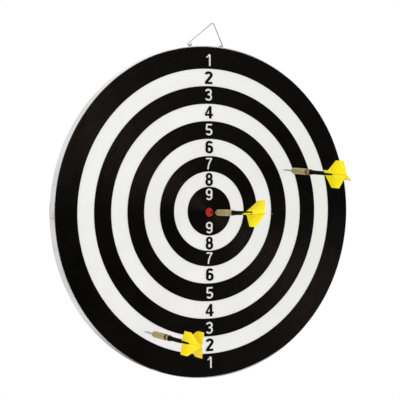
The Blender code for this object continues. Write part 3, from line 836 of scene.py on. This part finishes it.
# The first two marks are painted light at the upper left. The others are tone changes, a stain and flock.
for spot, reach, mark_colour, strength in STAINS_AND_PAINTED_LIGHT:
    away = vector_result(tree, "DISTANCE", on_board, spot)
    if mark_colour == FLOCK_BLACK:
        share = ramp(tree, away, reach * 0.7, reach, strength, 0.0)
        share = calculate(tree, "MULTIPLY", share, front_edge)
    else:
        share = ramp(tree, away, 0.0, reach, strength, 0.0)
        share = calculate(tree, "MULTIPLY_ADD", share, tone["Mask"], share, clamp=True)
    colour = blend_colours(tree, share, colour, mark_colour)
feed(tree, shader, {"Base Color": sprinkle(tree, place, colour, (0.5, 0.47, 0.43), 0.002, 0.05)})
crepe = use_group(tree, LINES, place, Spacing=(0.0005, 0.004, 1.0))["Height"]
tooth = use_group(tree, GRAIN, place, Size=0.0004)["Height"]
raise_bumps(tree, shader, (crepe, 0.00008), (tooth, 0.00003))

# %% The tape as a piece
tape = finish_piece(rim_tape(), "rim_strip", TAPE, "board", ["rim_tape"])
thicken(tape, TAPE_THICK, 1.0)

# %% [markdown]
# ## The wire hanger
# The hanger is one length of wire, bent as a wire bender would: feed, bend, feed, bend. The
# corners are given as points with a bend radius each, in the wire's own plane. From them come
# the moves: a bend eats a little of the straight part on either side of its corner. The wire is
# light at its left end, and darker towards its right foot.

# %% From corners to a wire
def moves_through(corners):
    """The moves that lead through corners of (point, bend radius), and the first heading."""
    moves, eaten = [], 0.0
    for (before, _), (point, radius), (after, _) in zip(corners, corners[1:], corners[2:]):
        leg, next_leg = point - before, after - point
        turn = -leg.angle_signed(next_leg)
        cut = radius * math.tan(abs(turn) / 2)
        moves.append((leg.length - eaten - cut, math.degrees(turn), radius))
        eaten = cut
    moves.append(((corners[-1][0] - corners[-2][0]).length - eaten, 0, 0))
    return moves, (corners[1][0] - corners[0][0]).normalized()


def keep_place(bm, name):
    """Lets each point note where it is, for patterns that stay with the piece."""
    layer = bm.verts.layers.float_vector.new(name)
    for vert in bm.verts:
        vert[layer] = vert.co


def bent_wire(corners, diameter, placed, sides=16):
    """A wire through corners in a plane, with its ends rounded off, moved to its place."""
    corners = [(Vector(point) * MM, radius * MM) for point, radius in corners]
    diameter *= MM
    moves, heading = moves_through(corners)
    bm = bmesh.new()
    bmesh.ops.create_circle(bm, segments=sides, radius=diameter / 2, cap_ends=True)
    ahead = Vector((heading.x, 0.0, heading.y))
    first = Vector((corners[0][0].x, 0.0, corners[0][0].y))
    move(bm, Matrix.Translation(first) @ ahead.to_track_quat("Z", "Y").to_matrix().to_4x4())
    first_rim = bm.edges[:]
    last_rim = feed_and_bend(bm, first_rim, first, ahead, TOWARDS_VIEWER, moves, step=9.0)
    bmesh.ops.contextual_create(bm, geom=last_rim)
    keep_place(bm, "wire_place")
    bmesh.ops.bevel(
        bm, geom=first_rim + last_rim, offset=diameter * 0.12, offset_type="OFFSET", segments=2,
        profile=0.5, affect="EDGES", material=-1,
    )
    move(bm, placed)
    return bm


# %% The wire's finish
WIRE, tree, shader, place = new_finish("hanger_wire", {"Metallic": 1.0}, "wire_place")
tone = use_group(tree, PATCHES, place, Size=0.006, Dark=(0.46, 0.455, 0.445), Light=(0.62, 0.615, 0.605))
along = add_node(tree, "SeparateXYZ", {"Vector": place}).outputs["X"]
# The wire's colour darkens from its left end towards its right foot.
darker_to_right = ramp(tree, along, -0.024, 0.018, 0.0, 0.8)
colour = blend_colours(tree, darker_to_right, tone["Color"], (0.19, 0.185, 0.175))
colour = sprinkle(tree, place, colour, (0.20, 0.12, 0.07), 0.0012, 0.05)
feed(tree, shader, {"Base Color": colour, "Roughness": ramp(tree, tone["Mask"], 0, 1, 0.5, 0.36)})
raise_bumps(tree, shader, (use_group(tree, GRAIN, place, Size=0.0005)["Height"], 0.00002))

# %% The bail and its staples
HINGE = (0.0, -6.5, 185.154)
LEAN = 29.0
BAIL_WIRE, STAPLE_WIRE = 1.2, 1.0
BAIL_CORNERS = [
    ((-20.1, 3.6), 0), ((-16.9, 0.0), 1.2), ((-22.6, 0.0), 1.0), ((-23.9, 2.1), 1.2),
    ((1.3, 28.9), 2.4), ((21.85, 0.0), 1.2), ((16.6, 0.0), 0),
]
STAPLE_HALF, STAPLE_DEPTH, STAPLE_GAP = 1.6, 9.0, 0.3
bail = bent_wire(BAIL_CORNERS, BAIL_WIRE, at(*HINGE) @ rotation(LEAN, "X"))
finish_piece(bail, "wire_bail", WIRE, "hanger", ["hanger_bail"], crease=50.0)
crown = BAIL_WIRE / 2 + STAPLE_GAP + STAPLE_WIRE / 2
bow = 0.6 * STAPLE_WIRE
for side, x in (("left", -20.6), ("right", 18.6)):
    foot = math.sqrt(BOARD_RADIUS ** 2 - x ** 2) - STAPLE_DEPTH - HINGE[2]
    left, right = -STAPLE_HALF, STAPLE_HALF
    corners = [((left, foot), 0), ((left, crown), bow), ((right, crown), bow), ((right, foot), 0)]
    staple = bent_wire(corners, STAPLE_WIRE, at(x, *HINGE[1:]) @ rotation(90, "Z"))
    finish_piece(staple, f"staple_{side}", WIRE, "board", [f"hanger_staple_{side}"], crease=50.0)

# %% [markdown]
# ## The darts
# Each dart is modelled upright on its own axis, with the barrel's nose at zero and the needle
# below it. At the end it is set on the board: up by what the needle still shows, and then by
# the dart's frame. Before that, every point notes where it was, so that lines that run round
# or along the dart stay with it. The stem and the wings are also rolled about the axis.

# %% Setting a piece on its dart
NEEDLE_LENGTH = 24.5
DEPTHS = {"dart_1": 7.0, "dart_2": 11.4, "dart_3": 5.0}
ROLLS = {"dart_1": 68.0, "dart_2": 83.0, "dart_3": 40.0}


def finish_on_dart(bm, dart, name, finish, node, rolled=False, crease=35.0):
    """Sets a piece on its dart, and finishes it as the one that stands for a node."""
    keep_place(bm, "dart_place")
    out = at(0, 0, NEEDLE_LENGTH - DEPTHS[dart])
    move(bm, dart_frame(dart) @ out @ rotation(ROLLS[dart] if rolled else 0, "Z"))
    return finish_piece(bm, f"{dart}_{name}", finish, dart, [f"{dart}_{node}"], crease)


# %% [markdown]
# ## Needles
# A needle is bright ground steel, with fine rings left by the grinding and a taper to a point
# that use has rounded a little. The needle of the middle dart is nearly black.

# %% The steel
def steel_finish(name, dark, light):
    finish, tree, shader, place = new_finish(name, {"Metallic": 1.0}, "dart_place")
    tone = use_group(tree, PATCHES, place, Size=0.004, Dark=dark, Light=light)
    dull = ramp(tree, tone["Mask"], 0, 1, 0.34, 0.22)
    feed(tree, shader, {"Base Color": tone["Color"], "Roughness": dull})
    rings = use_group(tree, LINES, place, Spacing=(0.004, 0.004, 0.00012))["Height"]
    raise_bumps(tree, shader, (rings, 0.000015))
    return finish


STEEL = steel_finish("needle_steel", (0.42, 0.415, 0.40), (0.58, 0.575, 0.56))
# The middle dart's needle is nearly black.
DARK_STEEL = steel_finish("blackish_steel", (0.09, 0.085, 0.08), (0.16, 0.15, 0.14))
STEELS = {"dart_1": STEEL, "dart_2": DARK_STEEL, "dart_3": STEEL}

# %% The needles
NEEDLE_SEAT = 10.0
NEEDLE = [(0, NEEDLE_SEAT), (NEEDLE_RADIUS, NEEDLE_SEAT), (NEEDLE_RADIUS, -19.5), (0.72, -22.25),
          (0.12, -24.4), (0, -NEEDLE_LENGTH)]
for dart in ENTRIES:
    needle = turned(NEEDLE, 32, rounded=[(2, 0.8)])
    finish_on_dart(needle, dart, "needle", STEELS[dart], "point", crease=60.0)

# %% [markdown]
# ## Barrels
# The barrel is turned brass with a knurled grip. A knurl is a lattice of small diamonds, and
# bmesh makes it in four steps. The grip is turned as a tube of plain cells. Poking puts a point
# in the middle of each cell and leaves four triangles. Dissolving the old edges joins every two
# triangles across them into a diamond. Insetting each diamond on its own raises it out of the
# grooves. Each point then notes its relief, from 0 in a groove to 1 on a diamond, because the
# brass stays bright where fingers rub it and darkens where they don't reach. The nose is bright
# too, and a value below 0 makes a rear groove dark brown.

# %% The barrel's shape
BARREL_REAR = 36.6
GROOVE_RADIUS, COLLAR_RADIUS = 3.1, 3.3
BARREL_RADIUS, BORE_RADIUS = 3.5, 1.9
KNURL_DEPTH, KNURL_GAP = 0.16, 0.13
KNURL_ROOT = BARREL_RADIUS - KNURL_DEPTH
KNURL_COLUMNS, KNURL_ROWS = 32, 22
GRIP_FRONT, GRIP_REAR = 3.4, 28.2
NOSE_STEPS = 7
NOSE_RELIEF, PLAIN_RELIEF = 0.95, 0.5
GROOVE_RELIEFS = {"dart_1": -0.3, "dart_2": 0.6, "dart_3": -0.6}


def barrel_profile():
    """The barrel's corners, from its rear bore over its outside to its front bore."""
    rear, pitch = BARREL_REAR, (GRIP_REAR - GRIP_FRONT) / KNURL_ROWS
    corners = [
        (0, rear - 9.3), (BORE_RADIUS, rear - 9.3), (BORE_RADIUS, rear - 0.3), (2.2, rear), (3.0, rear),
        (COLLAR_RADIUS, rear - 0.3), (COLLAR_RADIUS, rear - 2.3), (GROOVE_RADIUS, rear - 2.5),
        (GROOVE_RADIUS, rear - 8.0), (KNURL_ROOT, rear - 8.2),
    ]
    corners += [(KNURL_ROOT, GRIP_REAR - row * pitch) for row in range(KNURL_ROWS + 1)]
    for step in range(1, NOSE_STEPS + 1):
        turn = math.radians(90) * step / NOSE_STEPS
        radius = BORE_RADIUS + (KNURL_ROOT - BORE_RADIUS) * math.cos(turn)
        corners.append((radius, GRIP_FRONT * (1 - math.sin(turn))))
    return corners + [(1.05, 0), (1.05, 10.3), (0, 10.3)]


def on_grip(vert, slack):
    """Whether a point is on the knurled part, or within a slack in front of it or behind it."""
    inside = GRIP_FRONT - slack < vert.co.z / MM < GRIP_REAR + slack
    return inside and vert.co.xy.length / MM > KNURL_ROOT - 0.01


def relief_of(vert, groove_relief):
    """How far a point stands out where fingers rub it, from 0 to 1, or less than 0 in a dark groove."""
    radius, height = vert.co.xy.length / MM, vert.co.z / MM
    if on_grip(vert, 0.0):
        return min(max((radius - KNURL_ROOT) / KNURL_DEPTH, 0.0), 1.0)
    if radius < GROOVE_RADIUS + 0.02 and height > GRIP_REAR:
        return groove_relief
    return NOSE_RELIEF if height < GRIP_FRONT and radius > 1.2 else PLAIN_RELIEF


def barrel(groove_relief):
    bm = turned(barrel_profile(), KNURL_COLUMNS)
    cells = [face for face in bm.faces if all(on_grip(vert, 0.01) for vert in face.verts)]
    grip = set(cells)
    between = [edge for edge in bm.edges if grip.issuperset(edge.link_faces)]
    poked = bmesh.ops.poke(bm, faces=cells)
    for vert in poked["verts"]:
        vert.co.xy *= KNURL_ROOT * MM / vert.co.xy.length
    outside = {vert for face in poked["faces"] for vert in face.verts}
    bmesh.ops.dissolve_edges(bm, edges=between, use_verts=False, use_face_split=False)
    diamonds = [face for face in bm.faces if outside.issuperset(face.verts)]
    bmesh.ops.inset_individual(
        bm, faces=diamonds, thickness=KNURL_GAP * MM, depth=KNURL_DEPTH * MM, use_even_offset=True,
    )
    relief = bm.verts.layers.float.new("relief")
    for vert in bm.verts:
        vert[relief] = relief_of(vert, groove_relief)
    print(f"{len(diamonds)} diamonds round a barrel")
    return bm


# %% The brass
BRASS, tree, shader, place = new_finish("barrel_brass", {"Metallic": 1.0}, "dart_place")
relief = add_node(tree, "Attribute", attribute_name="relief").outputs["Fac"]
bright = use_group(tree, PATCHES, place, Size=0.005, Dark=(0.64, 0.545, 0.285), Light=(0.74, 0.635, 0.34))
soiled = blend_colours(tree, relief, (0.25, 0.19, 0.09), bright["Color"])
# Below 0 the brass turns dark brown, as in a rear groove.
below = ramp(tree, relief, -1.0, 0.0, 1.0, 0.0)
groove_darkened = blend_colours(tree, below, soiled, (0.07, 0.045, 0.018))
colour = sprinkle(tree, place, groove_darkened, (0.34, 0.24, 0.12), 0.0015, 0.12)
feed(tree, shader, {"Base Color": colour, "Roughness": ramp(tree, relief, 0, 1, 0.7, 0.5)})
rings = use_group(tree, LINES, place, Spacing=(0.006, 0.006, 0.00015))["Height"]
raise_bumps(tree, shader, (rings, 0.00002))

# %% The barrels
for dart in ENTRIES:
    finish_on_dart(barrel(GROOVE_RELIEFS[dart]), dart, "grip", BRASS, "barrel", crease=28.0)

# %% [markdown]
# ## Stems
# The stem is moulded black plastic that screws into the barrel. Its rear is split crosswise
# into four prongs that grip the wings. Two crossing slots are cut into the turned shape.

# %% The black plastic
PLASTIC, tree, shader, place = new_finish("stem_plastic", {"Specular IOR Level": 0.03}, "dart_place")
tone = use_group(tree, PATCHES, place, Size=0.006, Dark=(0.001, 0.001, 0.001), Light=(0.0035, 0.0033, 0.0031))
scuffs = use_group(tree, LINES, place, Spacing=(0.0006, 0.0006, 0.006))["Height"]
scuffed = ramp(tree, scuffs, 0.62, 0.8, 0.0, 0.5)
colour = blend_colours(tree, scuffed, tone["Color"], (0.05, 0.045, 0.04))
feed(tree, shader, {"Base Color": colour, "Roughness": ramp(tree, scuffs, 0.3, 0.8, 0.45, 0.6)})
raise_bumps(tree, shader, (use_group(tree, GRAIN, place, Size=0.0005)["Height"], 0.00003))

# %% The stems
STEM_REAR = BARREL_REAR + 42.6
SLOT_DEPTH, SLOT_WIDTH, SLOT_LENGTH = 15.0, 0.4, 8.0
SLOT_FLOOR = STEM_REAR - SLOT_DEPTH


def stem():
    shoulder, pin_end = BARREL_REAR + 0.05, BARREL_REAR - 9.0
    corners = [
        (0, STEM_REAR), (1.3, STEM_REAR), (1.8, STEM_REAR - 0.9), (2.05, SLOT_FLOOR),
        (2.2, SLOT_FLOOR - 1.8), (2.25, shoulder + 8.5), (2.55, shoulder + 3.0),
        (2.55, shoulder), (1.6, shoulder), (1.6, pin_end), (0, pin_end),
    ]
    bm = turned(corners, 40, rounded=[(1, 0.3), (2, 0.4), (4, 1.0), (6, 1.5), (7, 0.2)])
    tall = SLOT_DEPTH + 2.0
    size = Matrix.Diagonal((SLOT_LENGTH * MM, SLOT_WIDTH * MM, tall * MM, 1))
    for turn in (0, 90):
        slot = bmesh.new()
        placed = rotation(turn, "Z") @ at(0, 0, SLOT_FLOOR + tall / 2) @ size
        bmesh.ops.create_cube(slot, size=1.0, matrix=placed)
        bm = combine(bm, slot, "DIFFERENCE")
    return bm


for dart in ENTRIES:
    finish_on_dart(stem(), dart, "shaft", PLASTIC, "stem", rolled=True, crease=40.0)

# %% [markdown]
# ## Wings
# A flight is four thin wings in a cross. One wing starts as a flat face with seven corners, and
# vertex bevels round three of them. No wing on a used dart stands quite square, so each is
# folded over just outside the stem: the sheet is cut along four lines, and what lies beyond each
# of the last three turns by a third of the fold. A Solidify modifier gives the wings their
# thickness. The plastic is thin enough to let light through, which evens out its lit and its
# shaded side. A paler yellow near the axis is painted light: it lifts the shaded crease between
# two wings and keeps it from turning orange. Two of the flights are lemon yellow and one is amber.

# %% The yellow plastics
def wing_finish(name, dark, light, painted_light_root):
    finish, tree, shader, place = new_finish(name, {
        "Specular IOR Level": 0.12, "Subsurface Weight": 0.85, "Subsurface Scale": 0.0009,
        "Subsurface Radius": (1.0, 0.75, 0.15),
    }, "wing_place")
    outwards = add_node(tree, "SeparateXYZ", {"Vector": place}).outputs["X"]
    tone = use_group(tree, PATCHES, place, Size=0.008, Dark=dark, Light=light)
    # Near the axis the yellow is paler: painted light that lifts the shaded crease between wings.
    colour = blend_colours(tree, ramp(tree, outwards, 0.0005, 0.0040), painted_light_root, tone["Color"])
    feed(tree, shader, {"Base Color": colour, "Roughness": ramp(tree, tone["Mask"], 0, 1, 0.38, 0.5)})
    ribs = add_node(tree, "TexWave", {"Vector": place, "Scale": 130.0}, bands_direction="Z")
    raise_bumps(tree, shader, (ribs.outputs["Fac"], 0.00004))
    return finish


# The last colour of each yellow is its paler painted light near the axis.
LEMON = wing_finish("lemon_wing", (0.94, 0.635, 0.007), (0.97, 0.68, 0.009), (0.98, 0.80, 0.03))
AMBER = wing_finish("amber_wing", (0.96, 0.565, 0.006), (0.99, 0.60, 0.008), (0.98, 0.73, 0.02))
YELLOWS = {"dart_1": LEMON, "dart_2": LEMON, "dart_3": AMBER}

# %% The wings
WING_THICK = 0.15
WING_FRONT = SLOT_FLOOR + 0.3
ROOT, SPAN = 2.4, 15.1
ROOT_END = WING_FRONT + ROOT
SHOULDER_END = ROOT_END + 14.6
HEEL = SHOULDER_END + 14.1
WING_REAR = HEEL + 9.2
WING = [(0, WING_REAR), (1.0, WING_REAR), (SPAN, HEEL), (SPAN, SHOULDER_END), (ROOT, ROOT_END),
        (ROOT * 0.8, WING_FRONT), (0, WING_FRONT)]
# For each dart: the fold of its four wings in degrees.
FOLDS = {"dart_1": (17, 6, 14, -5), "dart_2": (-22, 13, -17, 6), "dart_3": (20, -17, 2, -20)}
FOLD_LINES = (3.6, 3.2, 2.8, 2.4)


def wing(arm, fold):
    """One wing, as a folded sheet that starts on the dart's axis."""
    sheet = bmesh.new()
    verts = [sheet.verts.new((radius * MM, 0.0, height * MM)) for radius, height in WING]
    sheet.faces.new(verts)
    for index, size in ((2, 1.0), (3, 0.9), (4, 1.0)):
        round_corner(sheet, verts[index], size, segments=5)
    for line in FOLD_LINES:
        everything = sheet.verts[:] + sheet.edges[:] + sheet.faces[:]
        bmesh.ops.bisect_plane(sheet, geom=everything, plane_co=(line * MM, 0, 0), plane_no=(1, 0, 0))
    keep_place(sheet, "wing_place")
    for line in FOLD_LINES[1:]:
        beyond = [vert for vert in sheet.verts if vert.co.x > (line + 0.01) * MM]
        bmesh.ops.rotate(sheet, verts=beyond, cent=(line * MM, 0, 0), matrix=rotation(fold / 3, "Z"))
    move(sheet, rotation(90 * arm, "Z"))
    return sheet


for dart in ENTRIES:
    wings = bmesh.new()
    for arm, fold in enumerate(FOLDS[dart]):
        pour(wing(arm, fold), wings)
    flight = finish_on_dart(wings, dart, "wings", YELLOWS[dart], "flight", rolled=True)
    thicken(flight, WING_THICK, 0.0)

# %% [markdown]
# ## The floor
# The board hangs well above a pale floor, which lies below the photograph's frame. It keeps the
# light from below soft and gives other views something to stand on.

# %% The floor
FLOOR_TOP, FLOOR_BOTTOM, FLOOR_RADIUS = -550, -560, 1400
FLOOR, tree, shader, place = new_finish("pale_floor", {"Roughness": 0.8})
tone = use_group(tree, PATCHES, place, Size=0.3, Dark=(0.79, 0.79, 0.785), Light=(0.82, 0.82, 0.815))
feed(tree, shader, {"Base Color": tone["Color"]})
corners = [(0, FLOOR_BOTTOM), (FLOOR_RADIUS, FLOOR_BOTTOM), (FLOOR_RADIUS, FLOOR_TOP), (0, FLOOR_TOP)]
finish_piece(turned(corners, 96, rounded=[(2, 5)]), "floor", FLOOR)

# %% [markdown]
# ## The size
# The boxes of the dressed target and of the imported one are printed next to each other.

# %% The two boxes
SHOWN_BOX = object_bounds()
for label, box in (("packed", CAD_BOX), ("shown", SHOWN_BOX)):
    print(label, [round((high - low) / MM, 1) for low, high in zip(*box)], "mm")
